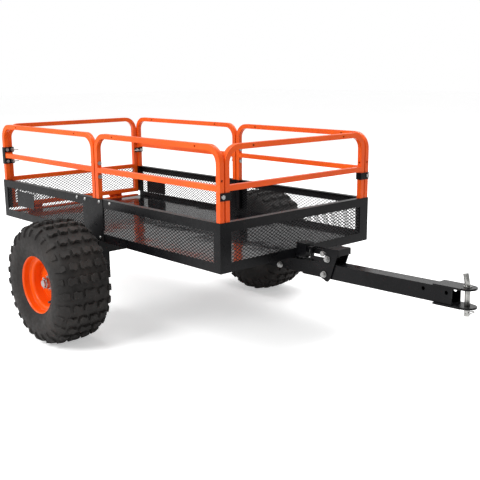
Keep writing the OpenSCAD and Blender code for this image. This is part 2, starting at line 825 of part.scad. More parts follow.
// Strap round the front hoop's post, bolted through the side hoop's post
module corner_straps() color("#18181a") cart() both_sides() {
    z = [pin_heights[0] - strap_height / 2, pin_heights[0] + strap_height / 2 - 1];
    x = [front_post_x - hoop_tube - slip, front_post_x + strap_gap];
    inner = end_post_y - hoop_tube - slip;
    hole = pin_diameter + pin_slip;
    difference() {
        union() {
            block([x[1], x[1] + strap_thickness], [inner - strap_thickness, side_post_y], z);
            block([x[0] - strap_thickness, x[1]], [inner - strap_thickness, inner], z);
            block([x[0] - strap_thickness, x[0]], [inner - strap_thickness, end_post_y], z);
        }
        rod_x(hole, [x[1] - cut, x[1] + strap_thickness + cut], side_post_y - hoop_tube / 2, pin_heights[0]);
    }
}

// Bracket round the side hoop's rear post, with two arms that reach across to the tailgate
module rear_brackets() color("#18181a") cart() both_sides() {
    post = [rear_hoop_x[0], rear_hoop_x[0] + hoop_tube];
    arm_x = [post[1] + strap_gap, post[1] + strap_gap + strap_thickness];
    arm_root = side_post_y + strap_gap;
    arm_end = end_post_y - hoop_tube;
    arm = 22;
    hole = pin_diameter + pin_slip;
    difference() {
        union() {
            block([post[0], arm_x[1]], [arm_root, arm_root + strap_thickness],
                [pin_heights[0] - arm / 2, pin_heights[1] + arm / 2]);
            for (z = pin_heights)
                block(arm_x, [arm_end, arm_root], [z - arm / 2, z + arm / 2]);
        }
        for (z = pin_heights, y = [side_post_y - hoop_tube / 2, end_post_y - hoop_tube / 2])
            rod_x(hole, [arm_x[0] - cut, arm_x[1] + cut], y, z);
    }
}

// Bolt along X with a hexagon head in front and a nut behind
module post_bolt(x, y, z) {
    across = 13;
    head = 5;
    nut = 6;
    rod_x(pin_diameter, [x[0] - nut, x[1]], y, z);
    hex_x(across, [x[1], x[1] + head], y, z);
    hex_x(across, [x[0] - nut, x[0]], y, z);
}

module bracket_bolts() color("#dcdddf") cart() both_sides() {
    y = side_post_y - hoop_tube / 2;
    front = front_post_x + strap_gap + strap_thickness;
    rear = rear_hoop_x[0] + hoop_tube + strap_gap + strap_thickness;
    post_bolt([front_post_x - hoop_tube, front], y, pin_heights[0]);
    for (z = pin_heights) post_bolt([rear_hoop_x[0], rear], y, z);
}

// Headed pins through the two middle posts, each held by a hairpin
module splice_pins() color("#c9cbce") cart() both_sides() {
    y = side_post_y - hoop_tube / 2;
    x = [rear_hoop_x[1] - hoop_tube, front_hoop_x[0] + hoop_tube];
    tail = 12;
    head = 4;
    for (z = pin_heights) {
        rod_x(pin_diameter, [x[0] - tail, x[1]], y, z);
        rod_x(pin_diameter + 7, [x[1], x[1] + head], y, z);
        translate([x[0] - 0.6 * tail, y, z]) rotate([90, 0, 0]) hairpin(pin_diameter, ring_wire);
    }
}

// Ring pin through a bracket arm into the tailgate's post
module gate_pin(side, z) color("#c9cbce") cart() on_side(side) {
    y = end_post_y - hoop_tube / 2;
    arm_face = rear_hoop_x[0] + hoop_tube + strap_gap + strap_thickness;
    ring = 11;
    ring_x = arm_face + ring + 3;
    rod_x(pin_diameter, [gate_x + hoop_tube / 2, ring_x + 4], y, z);
    rod_x(pin_diameter + 6, [arm_face + end_play, arm_face + 3], y, z);
    translate([ring_x, y - ring, z]) rotate_extrude() translate([ring, 0])
        circle(d = ring_wire, $fn = 16);
}

module tailgate_frame() color("#f4511a") cart() {
    height = hoop_top - gate_foot_z;
    width = 2 * end_post_y;
    difference() {
        stand_y(gate_x, -end_post_y, gate_foot_z) {
            bent_tube(width, height);
            cross_tube(width, floor_z + gate_mid_height - gate_foot_z);
            cross_tube(width, hoop_tube / 2);
        }
        for (z = pin_heights) both_sides() gate_post_hole(z);
    }
    for (y = hinge_ys) hinge_half(y, [gate_hinge_z + end_play, gate_foot_z + leaf_reach], [0], [-1, 1],
        hinge_pin_diameter + 2 * run_fit);
}

// Hole through a gate post's front wall, long enough for the pin to leave on the swing
module gate_post_hole(z) {
    rod_x(pin_diameter + 3, [gate_x + hoop_wall, gate_x + hoop_tube + cut],
        end_post_y - hoop_tube / 2, z);
}

// Leaf on a face at gate_x with its own knuckles, cleared round the other half's knuckles
module hinge_half(y, z, own, other, bore) {
    leaf = 3;
    third = hinge_length / 3;
    gap = end_play;
    room = gate_barrel + 0.5;
    difference() {
        union() {
            block([gate_x - leaf, gate_x], [y - hinge_length / 2, y + hinge_length / 2], z);
            for (k = own) intersection() {
                union() {
                    rod_y(2 * gate_barrel, gate_hinge_x, knuckle(y, k, third, -gap), gate_hinge_z);
                    block([gate_hinge_x, gate_x], knuckle(y, k, third, -gap),
                        [gate_hinge_z - gate_barrel, gate_hinge_z + gate_barrel]);
                }
                block([gate_hinge_x - gate_barrel, gate_x], knuckle(y, k, third, 0),
                    [min(z[0], gate_hinge_z - gate_barrel), max(z[1], gate_hinge_z + gate_barrel)]);
            }
        }
        for (k = other) {
            rod_y(2 * room, gate_hinge_x, knuckle(y, k, third, gap), gate_hinge_z);
            block([gate_hinge_x, gate_x + cut], knuckle(y, k, third, gap),
                [gate_hinge_z - room, gate_hinge_z + room]);
        }
        rod_y(bore, gate_hinge_x, [y - hinge_length, y + hinge_length], gate_hinge_z);
    }
}

// Ends of knuckle k along Y, grown by g at each end
function knuckle(y, k, third, g) = [y + (k - 0.5) * third - g, y + (k + 0.5) * third + g];

module tailgate_sill() color("#d8420f") cart() {
    difference() {
        block([gate_x, gate_x + hoop_tube], [-end_post_y, end_post_y],
            [gate_sill_top - hoop_tube, gate_sill_top]);
        block([gate_x + hoop_wall, gate_x + hoop_tube - hoop_wall], [-end_post_y - cut, end_post_y + cut],
            [gate_sill_top - hoop_tube + hoop_wall, gate_sill_top - hoop_wall]);
    }
    for (y = hinge_ys) {
        hinge_half(y, [gate_sill_top - leaf_reach, gate_hinge_z - end_play], [-1, 1], [0],
            hinge_pin_diameter);
        rod_y(hinge_pin_diameter, gate_hinge_x, [y - hinge_length / 2, y + hinge_length / 2], gate_hinge_z);
    }
}

module tailgate_mesh() color("#6a6a6c") cart()
    block([gate_x + hoop_tube / 2 - mesh_thickness / 2, gate_x + hoop_tube / 2 + mesh_thickness / 2],
        [-end_post_y + hoop_tube, end_post_y - hoop_tube],
        [gate_foot_z + hoop_tube, floor_z + gate_mid_height - hoop_tube / 2]);

// Pedal: two wings beside the drawbar, joined by a bent step, with a spring arm on the right
module pedal() color("#202022") cart() on_drawbar() difference() {
    union() {
        both_sides() wing() wing_outline();
        on_side(-1) wing() spring_arm();
        block([jaw_x + 8, pedal_front], [-wing_outer, wing_outer], [pedal_top - pedal_plate, pedal_top]);
        block([pedal_front - pedal_plate, pedal_front], [-wing_outer, wing_outer],
            [pedal_top - pedal_lip, pedal_top]);
        block([spring_x - spring_tab, spring_x + arm_back], [-wing_outer, spring_y + spring_tab],
            [spring_top, spring_top + pedal_plate]);
    }
    rod_y(pedal_bolt + 2 * run_fit, pedal_pivot_reach, [-front_tube, front_tube], pedal_pivot_z);
    rod_y(pedal_bolt, cross_bolt_at[0], [-front_tube, front_tube], cross_bolt_at[1]);
}

// Stands a flat outline up as the left wing's plate
module wing() {
    translate([0, wing_outer, 0]) rotate([90, 0, 0]) linear_extrude(wing_thickness) children();
}

// Outline of a wing, x along the drawbar and y up, with a hook that opens towards the tray
module wing_outline() difference() {
    polygon([
        [jaw_x, pedal_top],
        [jaw_x, striker[1] - 12],
        [pedal_pivot_reach - 21, tube_half + 5],
        [pedal_pivot_reach - 19, pedal_pivot_z - 10],
        [pedal_pivot_reach + 9, -tube_half - 9],
        [pedal_pivot_reach + 16, -tube_half - 9],
        [pedal_pivot_reach + 25, -tube_half + 2],
        [pedal_front, pedal_top - 6],
        [pedal_front, pedal_top]
    ]);
    translate([notch_end, striker[1]]) circle(d = notch);
    translate([striker[0], striker[1] - notch / 2]) square([notch_end - striker[0], notch]);
}

// Outline of the arm that reaches back under the striker bolt and up beside the spring
module spring_arm() {
    polygon([
        [jaw_x + 4, striker[1] - 13],
        [spring_x + arm_back, striker[1] - 13],
        [spring_x + arm_back, spring_top + pedal_plate],
        [spring_x + spring_tab, spring_top + pedal_plate],
        [spring_x + spring_tab, striker[1] - 21],
        [pedal_pivot_reach - 20, tube_half + 3],
        [jaw_x + 4, tube_half + 3]
    ]);
}

// Bolt fixed in the drawbar that the pedal turns on, its washers just clear of the wings
module pedal_pivot_bolt() color("#dcdddf") cart() on_drawbar()
    cross_bolt(pedal_pivot_reach, pedal_pivot_z, wing_outer + end_play);

module pedal_cross_bolt() color("#dcdddf") cart() on_drawbar()
    cross_bolt(cross_bolt_at[0], cross_bolt_at[1], wing_outer);

// Return spring between the drawbar's tab and the pedal's spring arm
module pedal_spring() color("#d6d8da") cart() on_drawbar() translate([spring_x, spring_y, 0]) {
    coil = [tube_half + tab_height + 3, spring_top - 3];
    turns = 14;
    ring_stack(spring_radius, spring_wire, coil, turns);
    rod_z(2 * spring_wire, 0, 0, [tube_half + tab_height + 0.2, spring_top - 0.2]);
}

axle_beam();
axle_legs();
spindles();
wheel_washers();
wheel_nuts();
cotter_pins();
pivot_arms();
pivot_rod();
drawbar_rear_tube();
drawbar_front_tube();
drawbar_bolt();
hitch_plates();
pedal_pivot_bolt();
pedal_spring();
tyre(1);  // tyre_left
rim(1);  // rim_left
bearings(1);  // bearings_left
valve(1);  // valve_left
tyre(-1);  // tyre_right
rim(-1);  // rim_right
bearings(-1);  // bearings_right
valve(-1);  // valve_right
front_panel();
front_mesh();
side_panel_front(1);  // side_panel_left_front
side_panel_rear(1);  // side_panel_left_rear
side_panel_front(-1);  // side_panel_right_front
side_panel_rear(-1);  // side_panel_right_rear
side_mesh_front(1);  // side_mesh_left_front
side_mesh_rear(1);  // side_mesh_left_rear
side_mesh_front(-1);  // side_mesh_right_front
side_mesh_rear(-1);  // side_mesh_right_rear
floor_bearers();
floor_sheet_front();
floor_sheet_rear();
centre_plates();
label_plates();
panel_bolts();
latch_striker();
striker_bolt();
side_hoop_front(1);  // hoop_left_front
side_hoop_rear(1);  // hoop_left_rear
side_hoop_front(-1);  // hoop_right_front
side_hoop_rear(-1);  // hoop_right_rear
hoop_front();
corner_straps();
rear_brackets();
bracket_bolts();
splice_pins();
tailgate_sill();
tailgate_frame();
tailgate_mesh();
gate_pin(1, pin_heights[1]);  // gate_pin_left_upper
gate_pin(1, pin_heights[0]);  // gate_pin_left_lower
gate_pin(-1, pin_heights[1]);  // gate_pin_right_upper
gate_pin(-1, pin_heights[0]);  // gate_pin_right_lower
pedal();
pedal_cross_bolt();
hitch_pin();
hitch_clip();
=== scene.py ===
import json
import math
import bpy
import bmesh
import numpy as np
from mathutils import Matrix, Vector


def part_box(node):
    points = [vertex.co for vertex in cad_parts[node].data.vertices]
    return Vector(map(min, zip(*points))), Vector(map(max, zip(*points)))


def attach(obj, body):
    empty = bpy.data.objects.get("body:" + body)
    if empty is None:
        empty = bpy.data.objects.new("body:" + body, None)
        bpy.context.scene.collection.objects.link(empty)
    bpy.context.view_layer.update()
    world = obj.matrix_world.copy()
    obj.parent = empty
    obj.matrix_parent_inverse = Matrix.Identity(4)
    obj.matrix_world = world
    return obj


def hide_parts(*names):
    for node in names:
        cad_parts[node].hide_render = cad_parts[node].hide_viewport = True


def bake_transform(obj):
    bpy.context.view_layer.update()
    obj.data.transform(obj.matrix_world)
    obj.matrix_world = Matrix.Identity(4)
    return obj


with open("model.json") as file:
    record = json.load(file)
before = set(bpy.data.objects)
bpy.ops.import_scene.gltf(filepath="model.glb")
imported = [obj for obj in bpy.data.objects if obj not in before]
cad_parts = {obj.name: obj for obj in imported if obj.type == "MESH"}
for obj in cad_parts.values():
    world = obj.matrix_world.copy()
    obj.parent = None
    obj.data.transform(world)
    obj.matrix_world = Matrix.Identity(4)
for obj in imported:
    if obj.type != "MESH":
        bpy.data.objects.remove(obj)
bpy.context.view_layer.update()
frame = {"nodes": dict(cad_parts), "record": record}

nodes = frame["nodes"]
mm = 0.001


def gridFaces(nu, nv, closeU=False, closeV=False):
    # quads of a nu by nv grid of points, wrapping round where it is closed
    countU = nu if closeU else nu - 1
    countV = nv if closeV else nv - 1
    i, j = np.meshgrid(np.arange(countU), np.arange(countV), indexing="ij")
    i2 = (i + 1) % nu
    j2 = (j + 1) % nv
    return np.stack([i * nv + j, i2 * nv + j, i2 * nv + j2, i * nv + j2], -1).reshape(-1, 4)


def capFace(first, count):
    # one polygon over a ring of points
    return np.arange(first, first + count)[None]


def joinParts(parts):
    # several (points, blocks of faces) pairs as one, with the face numbers shifted
    points = []
    faces = []
    shift = 0
    for partPoints, blocks in parts:
        points.append(np.asarray(partPoints, float).reshape(-1, 3))
        for block in blocks:
            faces += (np.asarray(block) + shift).tolist()
        shift += len(points[-1])
    return np.concatenate(points), faces


def makePiece(name, parts, material, body, sharpAngle=35, replace=(), ride=True):
    points, faces = joinParts(parts)
    mesh = bpy.data.meshes.new(name)
    mesh.from_pydata(points.tolist(), [], faces)
    mesh.validate()
    work = bmesh.new()
    work.from_mesh(mesh)
    bmesh.ops.recalc_face_normals(work, faces=work.faces)
    work.to_mesh(mesh)
    work.free()
    mesh.polygons.foreach_set("use_smooth", np.ones(len(mesh.polygons), bool))
    mesh.set_sharp_from_angle(angle=math.radians(sharpAngle))
    piece = bpy.data.objects.new(name, mesh)
    bpy.context.scene.collection.objects.link(piece)
    mesh.materials.append(material)
    if ride:
        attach(piece, body)
    if replace:
        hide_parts(*replace)
    return piece


def tubeSweep(path, radius, sides=12, closed=False):
    # round wire along any smooth path, with a frame carried along it without twisting
    path = np.asarray(path, float)
    n = len(path)
    ahead = np.roll(path, -1, 0) - path
    if not closed:
        ahead[-1] = ahead[-2]
    tangent = ahead + np.roll(ahead, 1, 0)
    if not closed:
        tangent[0] = ahead[0]
    tangent /= np.linalg.norm(tangent, axis=1)[:, None]
    start = np.eye(3)[np.argmin(np.abs(tangent[0]))]
    normals = np.empty_like(path)
    normal = start - tangent[0] * (start @ tangent[0])
    for k in range(n):
        normal = normal - tangent[k] * (normal @ tangent[k])
        normal /= np.linalg.norm(normal)
        normals[k] = normal
    other = np.cross(tangent, normals)
    turn = np.linspace(0, 2 * np.pi, sides, endpoint=False)
    radius = np.broadcast_to(radius, n)[:, None, None]
    points = (path[:, None] + radius * (np.cos(turn)[None, :, None] * normals[:, None]
                                        + np.sin(turn)[None, :, None] * other[:, None]))
    blocks = [gridFaces(n, sides, closed, True)]
    if not closed:
        blocks += [capFace(0, sides)[:, ::-1], capFace((n - 1) * sides, sides)]
    return points, blocks


def revolve(section, centre, axis, segments=96, closed=True):
    # a section of (radius, along) points turned round an axis through centre
    section = np.asarray(section, float)
    axis = np.asarray(axis, float)
    first = np.eye(3)[(np.argmax(np.abs(axis)) + 1) % 3]
    second = np.cross(axis, first)
    turn = np.linspace(0, 2 * np.pi, segments, endpoint=False)
    spoke = np.cos(turn)[:, None] * first + np.sin(turn)[:, None] * second
    points = (np.asarray(centre) + spoke[:, None] * section[None, :, :1] + axis * section[None, :, 1:])
    return points, [gridFaces(segments, len(section), True, closed)]


def roundedLine(corners, radii, steps=5, closed=True):
    # a line whose corners are replaced by arcs of the given radii
    corners = np.asarray(corners, float)
    n = len(corners)
    radii = np.array(np.broadcast_to(radii, n), float)
    if not closed:
        radii[[0, -1]] = 0
    out = []
    for k in range(n):
        here = corners[k]
        if radii[k] <= 0:
            out.append(here)
            continue
        toBack = corners[k - 1] - here
        toNext = corners[(k + 1) % n] - here
        lengthBack = np.linalg.norm(toBack)
        lengthNext = np.linalg.norm(toNext)
        toBack /= lengthBack
        toNext /= lengthNext
        half = 0.5 * math.acos(np.clip(toBack @ toNext, -1, 1))
        reach = min(radii[k] / math.tan(half), 0.49 * lengthBack, 0.49 * lengthNext)
        radius = reach * math.tan(half)
        bisect = toBack + toNext
        centre = here + bisect / np.linalg.norm(bisect) * radius / math.sin(half)
        a = here + toBack * reach - centre
        b = here + toNext * reach - centre
        angle = math.acos(np.clip(a @ b / radius ** 2, -1, 1))
        for t in np.linspace(0, 1, steps + 1):
            out.append(centre + (math.sin((1 - t) * angle) * a + math.sin(t * angle) * b) / math.sin(angle))
    return np.array(out)


def thicken(line, thickness):
    # a closed section of even thickness along an open flat line
    line = np.asarray(line, float)
    along = np.gradient(line, axis=0)
    along /= np.linalg.norm(along, axis=1)[:, None]
    normal = np.stack([-along[:, 1], along[:, 0]], 1) * thickness / 2
    return np.concatenate([line + normal, (line - normal)[::-1]])


class Shader:
    # a Principled material with a few short ways to add nodes
    def __init__(self, name):
        self.material = bpy.data.materials.new(name)
        self.material.use_nodes = True
        self.tree = self.material.node_tree
        self.out = self.tree.nodes["Principled BSDF"]
        self.coord = self.tree.nodes.new("ShaderNodeTexCoord").outputs["Object"]

    def set(self, **values):
        names = {"roughness": "Roughness", "metallic": "Metallic", "specular": "Specular IOR Level",
                 "coat": "Coat Weight", "coatRoughness": "Coat Roughness", "ior": "IOR"}
        for key, value in values.items():
            self.out.inputs[names[key]].default_value = value

    def add(self, kind, **inputs):
        node = self.tree.nodes.new(kind)
        for key, value in inputs.items():
            socket = node.inputs[key.replace("_", " ")]
            if isinstance(value, bpy.types.NodeSocket):
                self.tree.links.new(value, socket)
            else:
                socket.default_value = value
        return node

    def noise(self, scale, detail=4.0, rough=0.55, stretch=None):
        source = self.coord
        if stretch:
            source = self.add("ShaderNodeMapping", Vector=source, Scale=stretch).outputs[0]
        node = self.add("ShaderNodeTexNoise", Vector=source, Scale=scale, Detail=detail, Roughness=rough)
        return node.outputs["Fac"]

    def ramp(self, value, stops):
        node = self.add("ShaderNodeValToRGB", Fac=value)
        elements = node.color_ramp.elements
        while len(elements) < len(stops):
            elements.new(0.5)
        for element, (place, color) in zip(elements, stops):
            element.position = place
            element.color = (*color, 1) if len(color) == 3 else color
        return node.outputs["Color"]

    def remap(self, value, low, high, lowIn=0.3, highIn=0.7):
        node = self.add("ShaderNodeMapRange", Value=value)
        for key, number in (("From Min", lowIn), ("From Max", highIn), ("To Min", low), ("To Max", high)):
            node.inputs[key].default_value = number
        return node.outputs["Result"]

    def math(self, kind, a, b):
        node = self.tree.nodes.new("ShaderNodeMath")
        node.operation = kind
        for k, value in enumerate((a, b)):
            if isinstance(value, bpy.types.NodeSocket):
                self.tree.links.new(value, node.inputs[k])
            else:
                node.inputs[k].default_value = value
        return node.outputs[0]

    def bump(self, height, strength, distance):
        node = self.add("ShaderNodeBump", Height=height, Strength=strength, Distance=distance)
        self.tree.links.new(node.outputs["Normal"], self.out.inputs["Normal"])

    def link(self, value, name):
        self.tree.links.new(value, self.out.inputs[name])


def powderCoat(name, dark, mid, light, rough, coat, peel, shine=0.5):
    # sprayed powder: slow shade drift, fine grain, and the soft waviness of baked paint
    s = Shader(name)
    drift = s.noise(7.0, 5.0)
    grain = s.noise(900.0, 2.0)
    s.link(s.ramp(s.math("ADD", s.math("MULTIPLY", drift, 0.8), s.math("MULTIPLY", grain, 0.2)),
                  [(0.3, dark), (0.5, mid), (0.7, light)]), "Base Color")
    s.link(s.remap(s.noise(45.0, 4.0), rough[0], rough[1]), "Roughness")
    s.set(coat=coat, coatRoughness=0.12, specular=shine)
    s.bump(s.math("ADD", s.noise(260.0, 3.0), s.math("MULTIPLY", grain, 0.3)), peel, 0.0004)
    return s.material


def platedSteel(name, dark, light, rough):
    # plated metal: cloudy patches and faint drawn lines
    s = Shader(name)
    s.set(metallic=1.0)
    cloud = s.noise(60.0, 5.0)
    lines = s.noise(300.0, 2.0, 0.6, (1.0, 1.0, 8.0))
    s.link(s.ramp(s.math("ADD", s.math("MULTIPLY", cloud, 0.7), s.math("MULTIPLY", lines, 0.3)),
                  [(0.32, dark), (0.68, light)]), "Base Color")
    s.link(s.remap(cloud, rough[0], rough[1]), "Roughness")
    s.bump(lines, 0.12, 0.0003)
    return s.material


def tyreRubber(name):
    # moulded rubber: brown bloom in patches over near black, dull, with a fine skin
    s = Shader(name)
    bloom = s.noise(9.0, 6.0, 0.6)
    speck = s.noise(420.0, 3.0)
    s.link(s.ramp(s.math("ADD", s.math("MULTIPLY", bloom, 0.75), s.math("MULTIPLY", speck, 0.25)),
                  [(0.32, (0.011, 0.010, 0.0095)), (0.52, (0.020, 0.018, 0.017)),
                   (0.7, (0.036, 0.031, 0.028))]),
           "Base Color")
    s.link(s.remap(s.noise(70.0, 4.0), 0.55, 0.78), "Roughness")
    s.set(specular=0.22)
    s.bump(s.math("ADD", s.noise(180.0, 4.0), s.math("MULTIPLY", speck, 0.5)), 0.35, 0.0005)
    return s.material


def glossPaint(name):
    # sheet under glossy black: a mirror with slow hollows, a little dust and faint fine ripples
    s = Shader(name)
    dust = s.noise(30.0, 6.0, 0.65)
    s.link(s.ramp(dust, [(0.35, (0.004, 0.004, 0.0045)), (0.62, (0.008, 0.008, 0.009)),
                         (0.8, (0.022, 0.022, 0.023))]),
           "Base Color")
    s.link(s.remap(dust, 0.05, 0.16), "Roughness")
    s.set(ior=3.0)
    s.bump(s.math("ADD", s.noise(4.0, 2.0), s.math("MULTIPLY", s.noise(22.0, 2.0), 0.12)), 0.35, 0.012)
    return s.material


orangePaint = powderCoat("orangePaint", (0.70, 0.070, 0.002), (0.78, 0.090, 0.003), (0.86, 0.112, 0.004),
                         (0.28, 0.40), 0.05, 0.10, 0.25)
blackPaint = powderCoat("blackPaint", (0.0020, 0.0020, 0.0024), (0.0035, 0.0035, 0.0042),
                        (0.007, 0.007, 0.008), (0.24, 0.36), 0.0, 0.16, 0.14)
meshPaint = powderCoat("meshPaint", (0.004, 0.004, 0.0045), (0.008, 0.008, 0.009), (0.014, 0.014, 0.015),
                       (0.34, 0.5), 0.0, 0.2, 0.15)
zincPlate = platedSteel("zincPlate", (0.26, 0.26, 0.26), (0.56, 0.56, 0.55), (0.30, 0.48))
brightSteel = platedSteel("brightSteel", (0.20, 0.20, 0.195), (0.50, 0.50, 0.48), (0.20, 0.34))
tyreSkin = tyreRubber("tyreSkin")
valveSkin = powderCoat("valveSkin", (0.008, 0.008, 0.008), (0.014, 0.014, 0.014), (0.02, 0.02, 0.02),
                       (0.5, 0.65), 0.0, 0.2)
glossBlack = glossPaint("glossBlack")
slotMaterials = {"orange_paint": orangePaint, "black_paint": blackPaint, "dark_mesh": meshPaint,
                 "gloss_black": glossBlack,
                 "zinc": zincPlate, "bright_steel": brightSteel, "tyre_rubber": tyreSkin,
                 "valve_rubber": valveSkin}
print("materials ready")


edgeLook = {"edge": 0.9 * mm, "smallEdge": 0.45 * mm, "segments": 2}
slotOf = {s["node"]: s["material_slot"] for s in frame["record"]["subparts"]}
smallEdged = ("bolts", "pins", "bolt", "nuts", "washers", "cotter", "clip", "bearings")
framed = ("panel_", "_panel", "tailgate_frame")


def finishNode(name):
    node = nodes[name]
    node.data.materials.clear()
    node.data.materials.append(slotMaterials[slotOf[name]])
    weld = node.modifiers.new("weld", "WELD")
    weld.merge_threshold = 0.01 * mm
    # triangles in one plane become one face, but a face round a window has to stay in pieces
    if not any(w in name for w in framed):
        flat = node.modifiers.new("flat", "DECIMATE")
        flat.decimate_type = "DISSOLVE"
        flat.angle_limit = math.radians(1)
    bevel = node.modifiers.new("edge", "BEVEL")
    bevel.width = edgeLook["smallEdge"] if any(w in name for w in smallEdged) else edgeLook["edge"]
    bevel.segments = edgeLook["segments"]
    bevel.limit_method = "ANGLE"
    bevel.angle_limit = math.radians(35)
    bevel.harden_normals = True


for nodeName in nodes:
    finishNode(nodeName)
print("nodes finished")


meshLook = {"longWay": 20 * mm, "shortWay": 11.5 * mm, "strand": 2.3 * mm, "thick": 1.5 * mm,
            "bond": 0.14, "tilt": 12}


def meshSheet(low, high, flat):
    # rows of strands between two corners of a box; flat is its thin axis. Each row is a wave with level
    # crests, neighbouring rows are out of step, and they meet at the crests, so that diamonds stay open
    look = meshLook
    along, across = [k for k in range(3) if k != flat]
    spacing = look["shortWay"] / 2
    height = (spacing - 0.8 * look["strand"]) / 2
    rows = int((high[across] - low[across]) / spacing)
    periods = int(math.ceil((high[along] - low[along]) / look["longWay"]))
    step = (high[along] - low[along]) / periods
    crest = look["bond"] / 2
    place = (np.arange(periods)[:, None] + np.array([crest, 0.5 - crest, 0.5 + crest, 1 - crest])).ravel()
    place = np.concatenate([[0], place, [periods]]) * step + low[along]
    wave = np.concatenate([[1], np.tile([1, -1, -1, 1], periods), [1]]) * height
    flip = np.where(np.arange(rows) % 2, -1, 1)
    centre = low[across] + (np.arange(rows) + 0.5) * (high[across] - low[across]) / rows
    turn = math.radians(look["tilt"])
    corner = np.array([[-1, -1], [1, -1], [1, 1], [-1, 1]]) * [look["strand"] / 2, look["thick"] / 2]
    corner = corner @ np.array([[math.cos(turn), math.sin(turn)], [-math.sin(turn), math.cos(turn)]])
    n = len(place)
    points = np.zeros((rows, n, 4, 3))
    points[..., along] = place[None, :, None]
    points[..., across] = (centre[:, None] + flip[:, None] * wave)[:, :, None] + corner[:, 0]
    points[..., flat] = (low[flat] + high[flat]) / 2 + corner[:, 1]
    strip = gridFaces(n, 4, False, True)
    ends = np.array([[3, 2, 1, 0], [4 * n - 4, 4 * n - 3, 4 * n - 2, 4 * n - 1]])
    start = 4 * n * np.arange(rows)[:, None, None]
    return points, [(strip + start).reshape(-1, 4), (ends + start).reshape(-1, 4)]


def makeMesh(node, body, flat):
    low, high = (np.array(c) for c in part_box(node))
    makePiece(node + "Strands", [meshSheet(low, high, flat)], meshPaint, body, 30, (node,))


for side in ("left", "right"):
    for part in ("front", "rear"):
        makeMesh(f"side_mesh_{side}_{part}", "tray", 1)
makeMesh("front_mesh", "tray", 0)
makeMesh("tailgate_mesh", "tailgate", 0)
print("mesh ready")


wheelLook = {"rows": 27, "tread": 13 * mm, "shoulderTread": 5.2 * mm, "blockLength": 40 * mm, "ramp": 0.35,
             "chamfer": 1.2 * mm, "draft": 1.8 * mm, "segments": 162}

# outer skin of the tyre from the middle of the crown to the bead: (out from the middle, radius) in mm
tyreSkinPoints = [(0, 215.8), (30, 215.2), (60, 213), (80, 208), (92, 199), (98.5, 186), (102.6, 170),
                  (103.6, 150), (100.5, 132), (95.5, 120), (93, 112), (90, 106)]
tyreInsidePoints = [(80, 104), (84, 120), (92, 150), (92, 172), (86, 192), (70, 204), (0, 208)]

# outlines of the tread blocks, (across, around) in mm: staggered rows, waved front and back edges
evenRow = [[(-22, -11), (-14, -17), (-5, -11), (5, -11), (14, -17), (22, -11),
            (22, 7), (15, 15), (6, 8), (-6, 8), (-15, 15), (-22, 7)],
           [(35, -12), (45, -17), (54, -11), (63, -14), (63, 8), (54, 14), (44, 7), (35, 10)],
           [(77, -10), (90, -14), (106, -8), (119, -6), (119, 4), (106, 7), (91, 13), (77, 9)]]
oddRow = [[(7, -12), (15, -17), (25, -10), (35, -14), (35, 9), (25, 15), (14, 8), (7, 11)],
          [(48, -14), (59, -10), (69, -17), (78, -11), (78, 7), (69, 13), (58, 8), (48, 12)],
          [(92, -11), (105, -7), (117, -4), (117, 6), (105, 10), (92, 12)]]


def smoothLine(points, steps=6):
    # a Catmull-Rom curve through the points
    p = np.asarray(points, float)
    p = np.concatenate([[2 * p[0] - p[1]], p, [2 * p[-1] - p[-2]]])
    t = np.linspace(0, 1, steps, endpoint=False)[:, None]
    out = []
    for a, b, c, d in zip(p, p[1:], p[2:], p[3:]):
        out.append(0.5 * (2 * b + (c - a) * t + (2 * a - 5 * b + 4 * c - d) * t ** 2
                          + (3 * b - a - 3 * c + d) * t ** 3))
    return np.concatenate(out + [p[-2:-1]])


